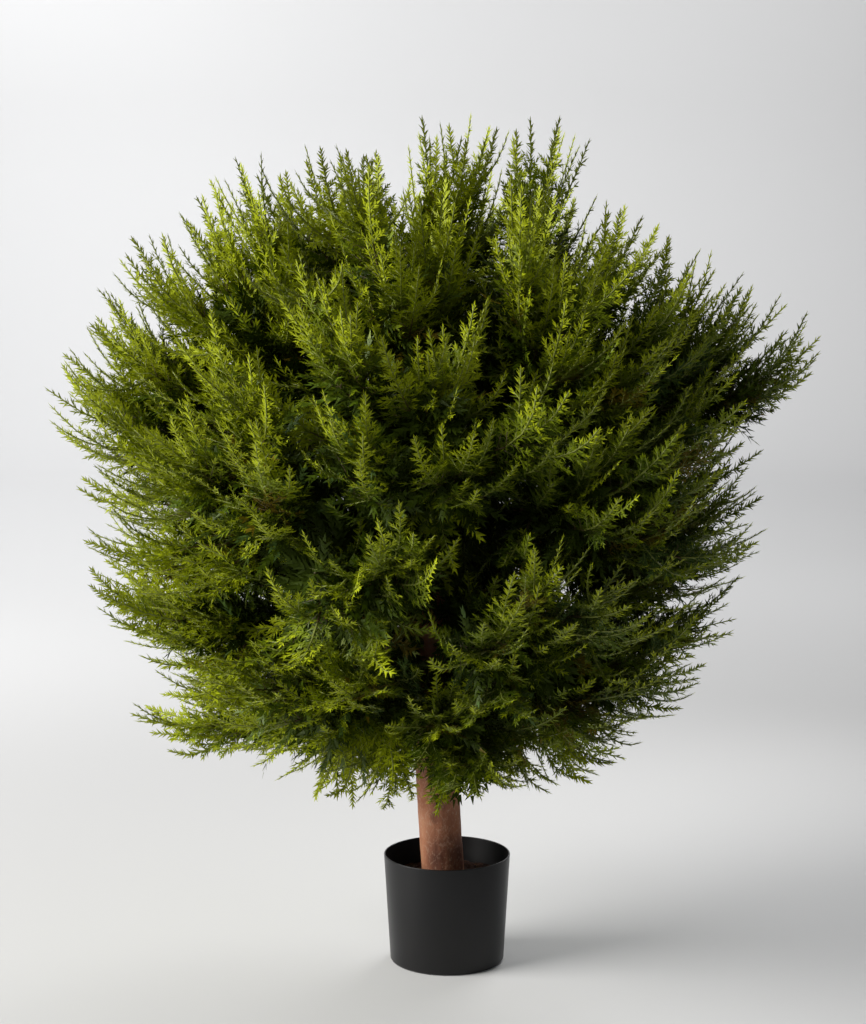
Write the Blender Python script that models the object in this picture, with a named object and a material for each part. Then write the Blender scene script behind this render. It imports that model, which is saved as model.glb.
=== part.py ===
"""Artificial conifer ball tree in a plain round pot.

A wooden pole leans a little in a pot filled with cement, and carries a loose
ball of plastic cypress sprays.  Metres, +Z up.  The origin is the middle of the
pot's flat underside, and the front of the tree faces -Y.
"""

import math
import random

import bmesh
import bpy
import numpy as np
from mathutils import Vector

# ---------------------------------------------------------------- dimensions
GAP = 0.0003                      # between pieces that touch

POT_HEIGHT = 0.130
POT_RIM_DIAMETER = 0.150
POT_BASE_DIAMETER = 0.135
POT_WALL = 0.0020
POT_FLOOR = 0.0030
POT_EDGE_RADIUS = 0.0040          # round edge between wall and underside
POT_SIDES = 36

CEMENT_TOP = 0.088
TOPPING_TOP = 0.100               # fibre layer over the cement
TOPPING_RINGS = (0.0, 0.036, 0.054)
TOPPING_LUMPS = 0.0022            # how far the layer falls to the pot's wall
LUMP_HEIGHT = 0.0013
LUMP_WAVES = (210, 180)           # radians per metre along X and Y
LEVEL_RIM = 0.004                 # width of the level strip beside the pot's wall

POLE_FOOT = 0.020                 # the pole stands this high above the floor, in the cement
POLE_TOP = 0.630
POLE_DIAMETER = 0.0500
POLE_TOP_DIAMETER = 0.0465
POLE_LEAN = math.radians(2.8)     # towards -X as it rises
POLE_SIDES = 18
POLE_RINGS = 10
POLE_SWELL = 0.0007               # how uneven the pole is
SWELL_WAVES = (9, 23)             # radians per metre up the pole

CROWN_MIDDLE = Vector((-0.020, 0.0, 0.587))
CROWN_RADIUS = 0.400              # the usual reach of a spray's tip
# reach of the usual tips to the right and to the left, by height above level
REACH_RISE = (-90, -60, -30, 0, 30, 60, 90)
REACH_RIGHT = (0.405, 0.412, 0.400, 0.402, 0.412, 0.378, 0.392)
REACH_LEFT = (0.405, 0.408, 0.418, 0.425, 0.430, 0.410, 0.392)
# sprays spread evenly over the ball: how many, shortest and longest reach as a share
# of the usual reach, and how fast their blades widen from the tip; first the outer
# sprays, then the broader ones that fill the inside
SHELLS = ((160, 0.84, 1.00, 0.30), (108, 0.56, 0.78, 0.38))
# tips that stand out of the ball's outline, seen from the front: x, z
LEADER_TIPS = (
    (0.124, 0.995), (0.227, 0.869), (0.335, 0.818), (0.395, 0.777), (0.431, 0.739),
    (0.363, 0.560), (0.366, 0.485), (0.292, 0.349), (0.081, 0.198),
    (-0.012, 0.971), (-0.236, 0.950), (-0.288, 0.903), (-0.362, 0.855), (-0.401, 0.798),
    (-0.448, 0.717), (-0.461, 0.680), (-0.393, 0.445), (-0.367, 0.294), (-0.149, 0.194),
)
# the same for more sprays, which fill the fringe under the ball
FRINGE_TIPS = ((0.116, 0.213), (0.160, 0.215), (0.205, 0.249), (-0.085, 0.205))
LEADER_DEPTH = 0.030              # how far those tips lie before or behind the middle
LEADER_STEP = 2.4                 # radians from one to the next, which scatters those depths
FULLER_BELOW = 0.86               # under 1 puts more sprays in the lower half
RISE_SCATTER = math.radians(3)
TURN_SCATTER = math.radians(4)
LONG_EVERY = 7                    # every seventh of the other sprays is a long one
LONG_REACH = 1.06
LOW_RISE = math.radians(-60)      # sprays that hang lower than this are short ones
LOW_REACH = 0.95

FIRST_SPRAY = 0.320               # lowest and highest roots on the pole
LAST_SPRAY = 0.610
UPSWEEP = 0.12                    # radians that a spray's tip is carried up
TILT_POWER = 2.3                  # sprays leave the middle of the pole nearly level
LOWEST_TIP_RISE = -78             # degrees: nothing hangs closer under the ball

# rings of boughs, from the top down: name, how many, height above level in degrees
# at which they point on the ball's skin, how far every second one points above that
# and the others below it, and the turn of the first bough
RINGS = (
    ("top", 1, 90, 0, 0),
    ("upper", 6, 51, 6, 18),
    ("middle", 7, 19, 8, 64),
    ("waist", 7, -13, 8, 40),
    ("lower", 7, -48, 9, 30),
)
BOUGH_START = 0.012               # from the pole's middle line, then cut clear of it
BOUGH_REACH = 0.25                # of the way to the ball's skin
BOUGH_RADII = (0.0056, 0.0046)
# a mass's stem swells into the core of its dense inner foliage
STEM_RADII = (0.0044, 0.0420, 0.0600, 0.0440, 0.0030)
STEM_REACH = 0.70                 # of the way to the ball's skin
LIMB_SIDES = 6

SPRAY_ROOTS = (0.10, 0.75)        # where sprays leave their stem, as shares of it
SHORTEST_SPRAY = 0.060
BRANCH_OUT = 0.095                # length over which a spray turns away from the stem
DRAW_IN = 0.05                    # how far a spray is drawn towards its bough's line
TOOTH_PITCH = 0.0310
TOOTH_TIP_WIDTH = 0.005           # half width of the blade at its leader
TOOTH_WIDTH = 0.050               # half width of the blade where it is full
NOTCH = 0.28                      # of the tooth's width
TOOTH_SWEEP = 0.55                # teeth lean this share of the pitch towards the tip
NOTCH_SWEEP = 0.15
FEWEST_TEETH = 4
BLADE_THICKNESS = 0.0037
BLADE_ROOT_WIDTH = 0.0030
ROOT_SLOPE = 0.34                 # how fast the blade widens from its root
MASS_MARGIN = 0.0015              # each mass keeps this clear of its space's sides
POLE_MARGIN = 0.006
DRAWN_IN = 0.65                   # a tooth that leaves its space is cut to this, time by time
DRAW_TIMES = 7
CORE_DRAWN_IN = 0.85              # the same for a core's corners
NEARLY_UP = (0.03, 0.02, 1.0)     # so that an upright spray still has a level side
SEED = 22

BLACK_PLASTIC = (0.016, 0.016, 0.017)
CEMENT_GREY = (0.30, 0.29, 0.27)
FIBRE_BROWN = (0.055, 0.028, 0.018)
POLE_BROWN = (0.130, 0.060, 0.034)
BOUGH_BROWN = (0.070, 0.045, 0.020)
SPRAY_GREENS = ((0.070, 0.110, 0.012), (0.045, 0.080, 0.010), (0.090, 0.130, 0.020),
                (0.035, 0.068, 0.016))


# ---------------------------------------------------------------- objects
def clear_scene():
    for old in list(bpy.data.objects):
        bpy.data.objects.remove(old, do_unlink=True)


def finish(obj, colour, roughness):
    """Give a piece its own material and shade its round faces smooth."""
    material = bpy.data.materials.new(obj.name)
    material.use_nodes = True
    shader = material.node_tree.nodes["Principled BSDF"]
    shader.inputs["Base Color"].default_value = (*colour, 1.0)
    shader.inputs["Roughness"].default_value = roughness
    shader.inputs["Metallic"].default_value = 0.0
    material.diffuse_color = (*colour, 1.0)
    obj.data.materials.clear()
    obj.data.materials.append(material)
    obj.data.shade_smooth()
    obj.data.set_sharp_from_angle(angle=math.radians(35))


def object_from(bm, name):
    """Make an object of faces that all turn one way, and turn them to face out."""
    if bm.calc_volume(signed=True) < 0:
        bmesh.ops.reverse_faces(bm, faces=bm.faces)
    mesh = bpy.data.meshes.new(name)
    bm.to_mesh(mesh)
    bm.free()
    obj = bpy.data.objects.new(name, mesh)
    bpy.context.scene.collection.objects.link(obj)
    return obj


def turned(name, profile, sides):
    """A solid turned about Z from a profile of (radius, height) points."""
    bm = bmesh.new()
    points = [bm.verts.new((radius, 0.0, height)) for radius, height in profile]
    edges = [bm.edges.new(pair) for pair in zip(points, points[1:])]
    bmesh.ops.spin(bm, geom=points + edges, cent=(0, 0, 0), axis=(0, 0, 1),
                   angle=math.tau, steps=sides, use_merge=True)
    bmesh.ops.remove_doubles(bm, verts=bm.verts, dist=1e-6)
    bmesh.ops.dissolve_degenerate(bm, edges=bm.edges, dist=1e-6)
    bmesh.ops.recalc_face_normals(bm, faces=bm.faces)
    return object_from(bm, name)


def loft(name, sections):
    """A closed solid through rings of equal count; a last ring of one point is a tip."""
    bm = bmesh.new()
    rings = [[bm.verts.new(point) for point in section] for section in sections]
    sides = len(rings[0])
    for low, high in zip(rings, rings[1:]):
        for i in range(sides):
            j = (i + 1) % sides
            if len(high) == 1:
                bm.faces.new((low[i], low[j], high[0]))
            else:
                bm.faces.new((low[i], low[j], high[j], high[i]))
    bm.faces.new(rings[0][::-1])
    if len(rings[-1]) > 1:
        bm.faces.new(rings[-1])
    bmesh.ops.triangulate(bm, faces=bm.faces, quad_method="SHORT_EDGE")
    return object_from(bm, name)


def apply_boolean(obj, operation, solver, tool=None, group=None):
    """Join or cut a piece with one tool or with a collection, and keep the result."""
    modifier = obj.modifiers.new(operation.lower(), "BOOLEAN")
    modifier.operation = operation
    modifier.solver = solver
    if group:
        modifier.operand_type = "COLLECTION"
        modifier.collection = group
    else:
        modifier.object = tool
    depsgraph = bpy.context.evaluated_depsgraph_get()
    result = bpy.data.meshes.new_from_object(obj.evaluated_get(depsgraph))
    obj.modifiers.clear()
    obj.data = result


def largest_body(obj):
    """Drop every loose scrap but the largest connected piece."""
    bm = bmesh.new()
    bm.from_mesh(obj.data)
    unseen = set(bm.verts)
    bodies = []
    while unseen:
        body = [unseen.pop()]
        for vert in body:
            for edge in vert.link_edges:
                other = edge.other_vert(vert)
                if other in unseen:
                    unseen.remove(other)
                    body.append(other)
        bodies.append(body)
    bodies.sort(key=len)
    for body in bodies[:-1]:
        bmesh.ops.delete(bm, geom=body, context="VERTS")
    bm.to_mesh(obj.data)
    bm.free()


# ---------------------------------------------------------------- pot and fill
def pot_radius(height):
    """The pot's outer radius at a height."""
    share = height / POT_HEIGHT
    return (POT_BASE_DIAMETER * (1 - share) + POT_RIM_DIAMETER * share) / 2


def make_pot():
    profile = [(0.0, 0.0)]
    edge = POT_EDGE_RADIUS
    for step in range(4):
        angle = math.radians(90 - 30 * step)
        wall = pot_radius(edge)
        profile.append((wall - edge + edge * math.cos(angle), edge - edge * math.sin(angle)))
    lip = POT_WALL / 2
    for step in range(5):
        angle = math.radians(45 * step)
        profile.append((pot_radius(POT_HEIGHT) - lip + lip * math.cos(angle),
                        POT_HEIGHT - lip + lip * math.sin(angle)))
    profile.append((pot_radius(POT_FLOOR) - POT_WALL, POT_FLOOR))
    profile.append((0.0, POT_FLOOR))
    finish(turned("pot", profile, POT_SIDES), BLACK_PLASTIC, 0.42)


def make_cement(pole_space):
    inner = POT_WALL + GAP
    low = POT_FLOOR + GAP
    cement = turned("cement", [(0.0, low), (pot_radius(low) - inner, low),
                               (pot_radius(CEMENT_TOP) - inner, CEMENT_TOP),
                               (0.0, CEMENT_TOP)], POT_SIDES)
    apply_boolean(cement, "DIFFERENCE", "EXACT", tool=pole_space)
    finish(cement, CEMENT_GREY, 0.9)


def make_topping(pole_space):
    """The fibre layer: flat below, and lumpy above but for a strip beside the wall."""
    low = CEMENT_TOP + GAP
    profile = [(radius, TOPPING_TOP) for radius in TOPPING_RINGS]
    rim = pot_radius(TOPPING_TOP) - POT_WALL - GAP
    profile.append((rim, TOPPING_TOP - TOPPING_LUMPS))
    profile.append((pot_radius(low) - POT_WALL - GAP, low))
    profile.append((0.0, low))
    topping = turned("topping", profile, POT_SIDES)
    for vert in topping.data.vertices:
        x, y, z = vert.co
        reach = math.hypot(x, y)
        if z > TOPPING_TOP - TOPPING_LUMPS / 2 and reach < rim - LEVEL_RIM:
            lump = math.sin(LUMP_WAVES[0] * x + 1.3) * math.cos(LUMP_WAVES[1] * y - 0.4)
            vert.co.z = z + LUMP_HEIGHT * lump
    apply_boolean(topping, "DIFFERENCE", "EXACT", tool=pole_space)
    finish(topping, FIBRE_BROWN, 0.95)


# ---------------------------------------------------------------- pole
def pole_x(height):
    """Where the leaning pole's middle line is at a height."""
    return -math.tan(POLE_LEAN) * height


def pole_sections(foot, top, extra):
    """Rings of the pole, slightly uneven, grown by an extra thickness."""
    sections = []
    for ring in range(POLE_RINGS + 1):
        share = ring / POLE_RINGS
        height = foot + (top - foot) * share
        grown = (height - POLE_FOOT) / (POLE_TOP - POLE_FOOT)
        radius = (POLE_DIAMETER * (1 - grown) + POLE_TOP_DIAMETER * grown) / 2
        section = []
        for side in range(POLE_SIDES):
            angle = math.tau * side / POLE_SIDES
            uneven = POLE_SWELL * math.sin(2 * angle + SWELL_WAVES[0] * height)
            uneven += POLE_SWELL * math.sin(angle + SWELL_WAVES[1] * height)
            reach = radius + uneven + extra
            section.append((pole_x(height) + reach * math.cos(angle),
                            reach * math.sin(angle), height))
        sections.append(section)
    return sections


def make_pole():
    """The pole, and the grown copy that clears its way through what touches it."""
    pole = loft("trunk", pole_sections(POLE_FOOT, POLE_TOP, 0.0))
    finish(pole, POLE_BROWN, 0.55)
    space = loft("pole_space", pole_sections(POLE_FOOT - GAP, POLE_TOP + GAP, GAP))
    space.hide_render = True
    space.display_type = "WIRE"
    return space


# ---------------------------------------------------------------- spray lines
# A spray line starts on the pole's middle line and bends up as it goes out.  Its
# turn is its compass angle, and its rise runs from -90 degrees for the lowest root
# on the pole to 90 for the highest.  Lines of different turn or rise never cross.
def root_height(rise):
    return FIRST_SPRAY + (LAST_SPRAY - FIRST_SPRAY) * (rise / math.pi + 0.5)


def tilt_at(rise, distance):
    """Angle above level of the point at a distance along a spray line."""
    share = rise / (math.pi / 2)
    tilt = math.pi / 2 * np.sign(share) * np.abs(share) ** TILT_POWER
    return tilt + UPSWEEP * (distance / CROWN_RADIUS) ** 2 * np.cos(tilt)


def spray_point(turn, rise, distance):
    tilt = tilt_at(rise, distance)
    height = root_height(rise)
    out = distance * np.cos(tilt)
    return np.stack([pole_x(height) + out * np.cos(turn), out * np.sin(turn),
                     height + distance * np.sin(tilt)], axis=-1)


def spray_coordinates(points):
    """Turn, rise and distance of points, by halving the range of their rise."""
    low = np.full(len(points), -math.pi / 2)
    high = np.full(len(points), math.pi / 2)
    for _ in range(30):
        rise = (low + high) / 2
        height = root_height(rise)
        x = points[:, 0] - pole_x(height)
        out = np.hypot(x, points[:, 1])
        up = points[:, 2] - height
        distance = np.hypot(out, up)
        above = np.arctan2(up, out) > tilt_at(rise, distance)
        low = np.where(above, rise, low)
        high = np.where(above, high, rise)
    return np.arctan2(points[:, 1], x), rise, distance


def direction(turn, rise):
    return np.stack([np.cos(rise) * np.cos(turn), np.cos(rise) * np.sin(turn),
                     np.sin(rise)], axis=-1)


def turn_and_rise(heading):
    return np.arctan2(heading[..., 1], heading[..., 0]), np.arcsin(np.clip(heading[..., 2], -1, 1))


# ---------------------------------------------------------------- crown plan
def crown_reach(turn, rise):
    """Usual reach from the crown's middle, between its right and left outlines."""
    right = np.interp(math.degrees(rise), REACH_RISE, REACH_RIGHT)
    left = np.interp(math.degrees(rise), REACH_RISE, REACH_LEFT)
    share = (1 + math.cos(turn)) / 2
    return right * share + left * (1 - share)


def skin_point(turn, rise, share):
    """Point at a share of the usual reach, by compass angle and height above level."""
    reach = crown_reach(turn, rise) * share
    return (CROWN_MIDDLE.x + reach * math.cos(rise) * math.cos(turn),
            CROWN_MIDDLE.y + reach * math.cos(rise) * math.sin(turn),
            CROWN_MIDDLE.z + reach * math.sin(rise))


def placed_tips(places):
    """Tips at given x and z, a little before or behind the middle."""
    return [(x, LEADER_DEPTH * math.sin(LEADER_STEP * number), z)
            for number, (x, z) in enumerate(places)]


def spray_tips(draw):
    """Tip and slope of each spray: leaders, then those spread over the ball, then the fringe."""
    tips = placed_tips(LEADER_TIPS)
    slopes = [SHELLS[0][3]] * len(LEADER_TIPS)
    golden = math.pi * (3 - math.sqrt(5))
    lowest = math.sin(math.radians(LOWEST_TIP_RISE))
    for count, shortest, longest, slope in SHELLS:
        for number in range(count):
            rise = math.asin(1 - (1 - lowest) * ((number + 0.5) / count) ** FULLER_BELOW)
            rise += draw.uniform(-RISE_SCATTER, RISE_SCATTER)
            turn = number * golden + draw.uniform(-TURN_SCATTER, TURN_SCATTER)
            share = draw.uniform(shortest, longest)
            if longest == 1.0 and number % LONG_EVERY == 0:
                share = draw.uniform(1.0, LONG_REACH)
            if rise < LOW_RISE:
                share = min(share, LOW_REACH)
            tips.append(skin_point(turn, rise, share))
            slopes.append(slope)
    tips += placed_tips(FRINGE_TIPS)
    slopes += [SHELLS[0][3]] * len(FRINGE_TIPS)
    return np.array(tips), slopes


def bough_plan():
    """Name, turn and rise of every bough's line, and how far along it the skin is."""
    plan = []
    for ring, count, height, step, first in RINGS:
        for number in range(count):
            name = ring if count == 1 else "%s_%d" % (ring, number + 1)
            turn = math.radians(first + 360 * number / count)
            height_here = math.radians(height + step * (-1) ** number)
            aim = np.array([skin_point(turn, height_here, 1.0)])
            turns, rises, distances = spray_coordinates(aim)
            plan.append((name, turns[0], rises[0], distances[0]))
    return plan


def crown_plan():
    """Boughs with the sprays that belong to each: heading, reach, root, roll and slope."""
    draw = random.Random(SEED)
    boughs = bough_plan()
    headings = np.array([direction(turn, rise) for _, turn, rise, _ in boughs])
    tips, slopes = spray_tips(draw)
    sprays = [[] for _ in boughs]
    for turn, rise, distance, slope in zip(*spray_coordinates(tips), slopes):
        heading = direction(turn, rise)
        bough = int(np.argmax(headings @ heading))
        heading = heading + DRAW_IN * (headings[bough] - heading)
        first = BOUGH_REACH * boughs[bough][3]
        stem = STEM_REACH * boughs[bough][3] - first
        root = first + stem * draw.uniform(*SPRAY_ROOTS)
        roll = math.radians(draw.uniform(-90, 90))
        root = min(root, distance - SHORTEST_SPRAY)
        if root > first + stem * SPRAY_ROOTS[0]:
            sprays[bough].append((heading / np.linalg.norm(heading), distance, root, roll, slope))
    return boughs, headings, sprays


def room(points, bough, headings, bough_end):
    """How far points are inside a bough's own space, and clear of the pole and the bough."""
    turns, rises, distances = spray_coordinates(points)
    own = direction(turns, rises)
    sides = headings[bough] - np.delete(headings, bough, axis=0)
    sides /= np.linalg.norm(sides, axis=1)[:, None]
    inside = (own @ sides.T).min(axis=1) * distances - MASS_MARGIN
    beside = np.hypot(points[:, 0] - pole_x(points[:, 2]), points[:, 1])
    beside -= POLE_DIAMETER / 2 + POLE_MARGIN
    over_pole = points[:, 2] > POLE_TOP + POLE_MARGIN
    clear = np.where(over_pole, CROWN_RADIUS, beside)
    return np.minimum(np.minimum(inside, clear), distances - bough_end - 2 * MASS_MARGIN)


# ---------------------------------------------------------------- limbs and sprays
def limb_ring(centre, along, radius):
    """A ring of points round a limb's middle line."""
    side = along.orthogonal() if abs(along.z) > 0.99 else along.cross(Vector((0, 0, 1)))
    side.normalize()
    up = side.cross(along)
    return [centre + radius * (side * math.cos(math.tau * i / LIMB_SIDES)
                               + up * math.sin(math.tau * i / LIMB_SIDES))
            for i in range(LIMB_SIDES)]


def limb(name, turn, rise, start, end, radii, room_at=None):
    """A round limb along a spray line, cut square at both ends, and drawn in where tight."""
    sections = []
    for ring, radius in enumerate(radii):
        distance = start + (end - start) * ring / (len(radii) - 1)
        near = Vector(spray_point(turn, rise, distance - 0.001))
        far = Vector(spray_point(turn, rise, distance + 0.001))
        middle = (near + far) / 2
        section = limb_ring(middle, (far - near).normalized(), radius)
        if room_at and 0 < ring < len(radii) - 1:
            for _ in range(DRAW_TIMES):
                tight = room_at(np.array(section)) < 0
                section = [middle + (point - middle) * (CORE_DRAWN_IN if short else 1.0)
                           for point, short in zip(section, tight)]
        sections.append(section)
    return loft(name, sections)


def spray_path(spray, bough_heading, count):
    """Points along a spray, from inside its stem to its tip."""
    heading, distance, root = spray[:3]
    reach = np.linspace(root, distance, count)
    share = np.clip((reach - root) / BRANCH_OUT, 0, 1)
    share = share * share * (3 - 2 * share)
    own = bough_heading + share[:, None] * (heading - bough_heading)
    turn, rise = turn_and_rise(own / np.linalg.norm(own, axis=1)[:, None])
    return spray_point(turn, rise, reach)


def blade_sides(along, roll):
    """The way across a blade at each station, rolled at its tip and carried down untwisted."""
    level = np.cross(along[-1], NEARLY_UP)
    level /= np.linalg.norm(level)
    sides = [level * math.cos(roll) + np.cross(level, along[-1]) * math.sin(roll)]
    for heading in along[-2::-1]:
        side = sides[0] - heading * (sides[0] @ heading)
        sides.insert(0, side / np.linalg.norm(side))
    return np.array(sides)


def spray_blade(name, spray, bough, headings, bough_end):
    """A thin blade with teeth that lean to its tip, ridged above and flat below."""
    _, distance, root, roll, slope = spray
    count = max(FEWEST_TEETH, round((distance - root) / TOOTH_PITCH)) + 1
    path = spray_path(spray, headings[bough], count)
    along = np.gradient(path, axis=0)
    along /= np.linalg.norm(along, axis=1)[:, None]
    lengths = np.concatenate([[0], np.cumsum(np.linalg.norm(np.diff(path, axis=0), axis=1))])
    pitch = lengths[-1] / (count - 1)
    across = blade_sides(along, roll)
    ridge = np.cross(across, along)

    to_tip = lengths[-1] - lengths
    width = np.minimum(TOOTH_TIP_WIDTH + slope * to_tip, TOOTH_WIDTH)
    width = np.minimum(width, BLADE_ROOT_WIDTH + ROOT_SLOPE * lengths)
    edges = []
    for hand in (1, -1):
        tooth = (np.arange(count) % 2) == (hand > 0)
        sweep = np.where(tooth, TOOTH_SWEEP, NOTCH_SWEEP) * pitch
        sweep[:2] *= (0, 0.5)
        reach = np.where(tooth, width, NOTCH * width)
        reach[0] = BLADE_ROOT_WIDTH
        for _ in range(DRAW_TIMES):
            edge = path + along * sweep[:, None] + across * (hand * reach)[:, None]
            tight = room(edge, bough, headings, bough_end) < 0
            tight[0] = False
            reach = np.where(tight, reach * DRAWN_IN, reach)
        edges.append(path + along * sweep[:, None] + across * (hand * reach)[:, None])
    sections = []
    for i in range(count - 1):
        sections.append([edges[0][i], edges[1][i], path[i] + ridge[i] * BLADE_THICKNESS])
    sections.append([path[-1]])
    return loft(name, sections)


def make_crown(pole_space):
    boughs, headings, sprays = crown_plan()
    for number, (name, turn, rise, skin) in enumerate(boughs):
        bough_end = BOUGH_REACH * skin
        bough = limb("bough_" + name, turn, rise, BOUGH_START, bough_end, BOUGH_RADII)
        apply_boolean(bough, "DIFFERENCE", "EXACT", tool=pole_space)
        finish(bough, BOUGH_BROWN, 0.6)

        mass = limb("mass_" + name, turn, rise, bough_end + GAP, STEM_REACH * skin, STEM_RADII,
                    lambda points: room(points, number, headings, bough_end))
        blades = bpy.data.collections.new("blades_" + name)
        bpy.context.scene.collection.children.link(blades)
        for count, spray in enumerate(sprays[number]):
            blade = spray_blade("blade_%d" % count, spray, number, headings, bough_end)
            bpy.context.scene.collection.objects.unlink(blade)
            blades.objects.link(blade)
        # EXACT leaves doubled edges where two blades graze, and MANIFOLD none
        apply_boolean(mass, "UNION", "MANIFOLD", group=blades)
        for blade in list(blades.objects):
            bpy.data.objects.remove(blade, do_unlink=True)
        bpy.data.collections.remove(blades)
        largest_body(mass)
        finish(mass, SPRAY_GREENS[number % len(SPRAY_GREENS)], 0.5)


clear_scene()
make_pot()
pole_cutter = make_pole()
make_cement(pole_cutter)
make_topping(pole_cutter)
make_crown(pole_cutter)
bpy.data.objects.remove(pole_cutter, do_unlink=True)
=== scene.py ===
"""Artificial conifer ball tree: loose plastic cypress sprays on a wood pole, in a black pot."""

import math
import random

import bmesh
import bpy
import numpy as np
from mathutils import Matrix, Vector, noise


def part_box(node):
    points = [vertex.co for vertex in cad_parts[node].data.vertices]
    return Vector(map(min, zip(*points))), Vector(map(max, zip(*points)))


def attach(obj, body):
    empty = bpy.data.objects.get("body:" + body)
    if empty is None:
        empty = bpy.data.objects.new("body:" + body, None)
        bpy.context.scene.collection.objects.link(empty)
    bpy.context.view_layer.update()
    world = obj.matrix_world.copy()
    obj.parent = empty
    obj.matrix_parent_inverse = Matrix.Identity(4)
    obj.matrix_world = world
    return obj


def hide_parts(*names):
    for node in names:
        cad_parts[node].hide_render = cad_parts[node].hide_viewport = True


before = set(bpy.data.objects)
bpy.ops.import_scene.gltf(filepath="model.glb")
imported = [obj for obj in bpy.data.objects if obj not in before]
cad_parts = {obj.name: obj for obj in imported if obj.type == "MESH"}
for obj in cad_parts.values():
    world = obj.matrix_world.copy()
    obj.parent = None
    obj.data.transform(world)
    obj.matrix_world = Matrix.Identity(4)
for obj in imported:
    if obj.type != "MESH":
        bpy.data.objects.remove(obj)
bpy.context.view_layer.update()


# ---------------------------- pot
# A plain tapered nursery pot, injection moulded in black polypropylene: a thin wall with a
# rounded lip, a small round edge at its foot, and a satin skin a little dulled by handling.
POT_RIM_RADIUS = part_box("pot")[1].x
POT_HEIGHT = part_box("pot")[1].z
POT_BASE_RADIUS = 0.0675
POT_WALL = 0.0018
POT_FLOOR = 0.0030
POT_FOOT_EDGE = 0.0040
POT_FOOT_RING = 0.010  # width of the flat ring that it stands on
POT_RECESS = (0.002, 0.0015)  # the step inside that ring: its width and height
POT_STEPS = 128
SHARP_EDGE = math.radians(40)


def pot_radius(height):
    """Radius of the pot's outside at a height."""
    share = height / POT_HEIGHT
    return POT_BASE_RADIUS * (1 - share) + POT_RIM_RADIUS * share


def arc(centre_x, centre_z, radius, first, last, count):
    """Points along part of a circle in the XZ plane, angles in degrees."""
    points = []
    for step in range(count + 1):
        angle = math.radians(first + (last - first) * step / count)
        points.append((centre_x + radius * math.cos(angle), centre_z + radius * math.sin(angle)))
    return points


def spun(profile, steps):
    """A closed solid turned about Z from (radius, height) points, foot first."""
    bm = bmesh.new()
    points = [bm.verts.new((radius, 0.0, height)) for radius, height in profile]
    edges = [bm.edges.new(pair) for pair in zip(points, points[1:])]
    bmesh.ops.spin(bm, geom=points + edges, cent=(0, 0, 0), axis=(0, 0, 1),
                   angle=math.tau, steps=steps, use_merge=True)
    bmesh.ops.remove_doubles(bm, verts=bm.verts, dist=1e-6)
    bmesh.ops.dissolve_degenerate(bm, edges=bm.edges, dist=1e-6)
    bmesh.ops.recalc_face_normals(bm, faces=bm.faces)
    return bm


def placed(mesh, materials, stands_for):
    """Puts a finished mesh on the tree, in place of the CAD nodes that it stands for."""
    piece = bpy.data.objects.new(mesh.name, mesh)
    bpy.context.scene.collection.objects.link(piece)
    for material in materials:
        mesh.materials.append(material)
    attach(piece, "root")
    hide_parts(*stands_for)
    return piece


def mesh_from(bm, name):
    """A finished mesh, smooth but for its sharp edges."""
    mesh = bpy.data.meshes.new(name)
    bm.to_mesh(mesh)
    bm.free()
    mesh.shade_smooth()
    mesh.set_sharp_from_angle(angle=SHARP_EDGE)
    return mesh


def finish_of(name, colour, roughness, gloss=0.5):
    """A plain finish; patterns are added to it afterwards."""
    material = bpy.data.materials.new(name)
    material.use_nodes = True
    shader = material.node_tree.nodes["Principled BSDF"]
    shader.inputs["Base Color"].default_value = (*colour, 1.0)
    shader.inputs["Roughness"].default_value = roughness
    shader.inputs["Specular IOR Level"].default_value = gloss
    material.diffuse_color = (*colour, 1.0)
    return material


def added(material, kind, feeds, operation=None):
    """A new node; feeds give its sockets an output to follow or a value to keep."""
    node = material.node_tree.nodes.new("ShaderNode" + kind)
    if operation:
        node.operation = operation
    for socket, value in feeds.items():
        if isinstance(value, bpy.types.NodeSocket):
            material.node_tree.links.new(value, node.inputs[socket])
        else:
            node.inputs[socket].default_value = value
    return node


def grain(material, scale, detail=4.0, stretch=(1.0, 1.0, 1.0)):
    """A noise pattern in the piece's own space; returns the output that carries it."""
    place = added(material, "TexCoord", {}).outputs["Object"]
    fitted = added(material, "Mapping", {"Scale": stretch, "Vector": place}).outputs[0]
    feeds = {"Scale": scale, "Detail": detail, "Vector": fitted}
    return added(material, "TexNoise", feeds).outputs[0]


def ramp(material, factor, stops):
    """Colours or greys spread over a pattern: stops are (position, colour or grey)."""
    node = added(material, "ValToRGB", {0: factor})
    elements = node.color_ramp.elements
    while len(elements) < len(stops):
        elements.new(0.5)
    for element, (position, colour) in zip(elements, stops):
        element.position = position
        element.color = (*np.broadcast_to(colour, 3), 1.0)
    return node.outputs[0]


def blended(material, factor, first, second):
    """One colour laid over another where the factor is high."""
    node = material.node_tree.nodes.new("ShaderNodeMix")
    node.data_type = "RGBA"
    links = material.node_tree.links
    links.new(factor, node.inputs[0])
    links.new(first, node.inputs[6])
    links.new(second, node.inputs[7])
    return node.outputs[2]


def wire(material, output, socket):
    """Leads a pattern to one socket of the finish."""
    shader = material.node_tree.nodes["Principled BSDF"]
    material.node_tree.links.new(output, shader.inputs[socket])


def patterned(material, socket, factor, *stops):
    """Spreads colours or greys over a pattern, for one socket of the finish."""
    wire(material, ramp(material, factor, stops), socket)


def relief(material, height, depth, under=None):
    """Raises the surface by a pattern, over an earlier relief if one is given."""
    feeds = {"Strength": 1.0, "Distance": depth, "Height": height}
    if under:
        feeds["Normal"] = under
    raised = added(material, "Bump", feeds).outputs[0]
    wire(material, raised, "Normal")
    return raised


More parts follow.
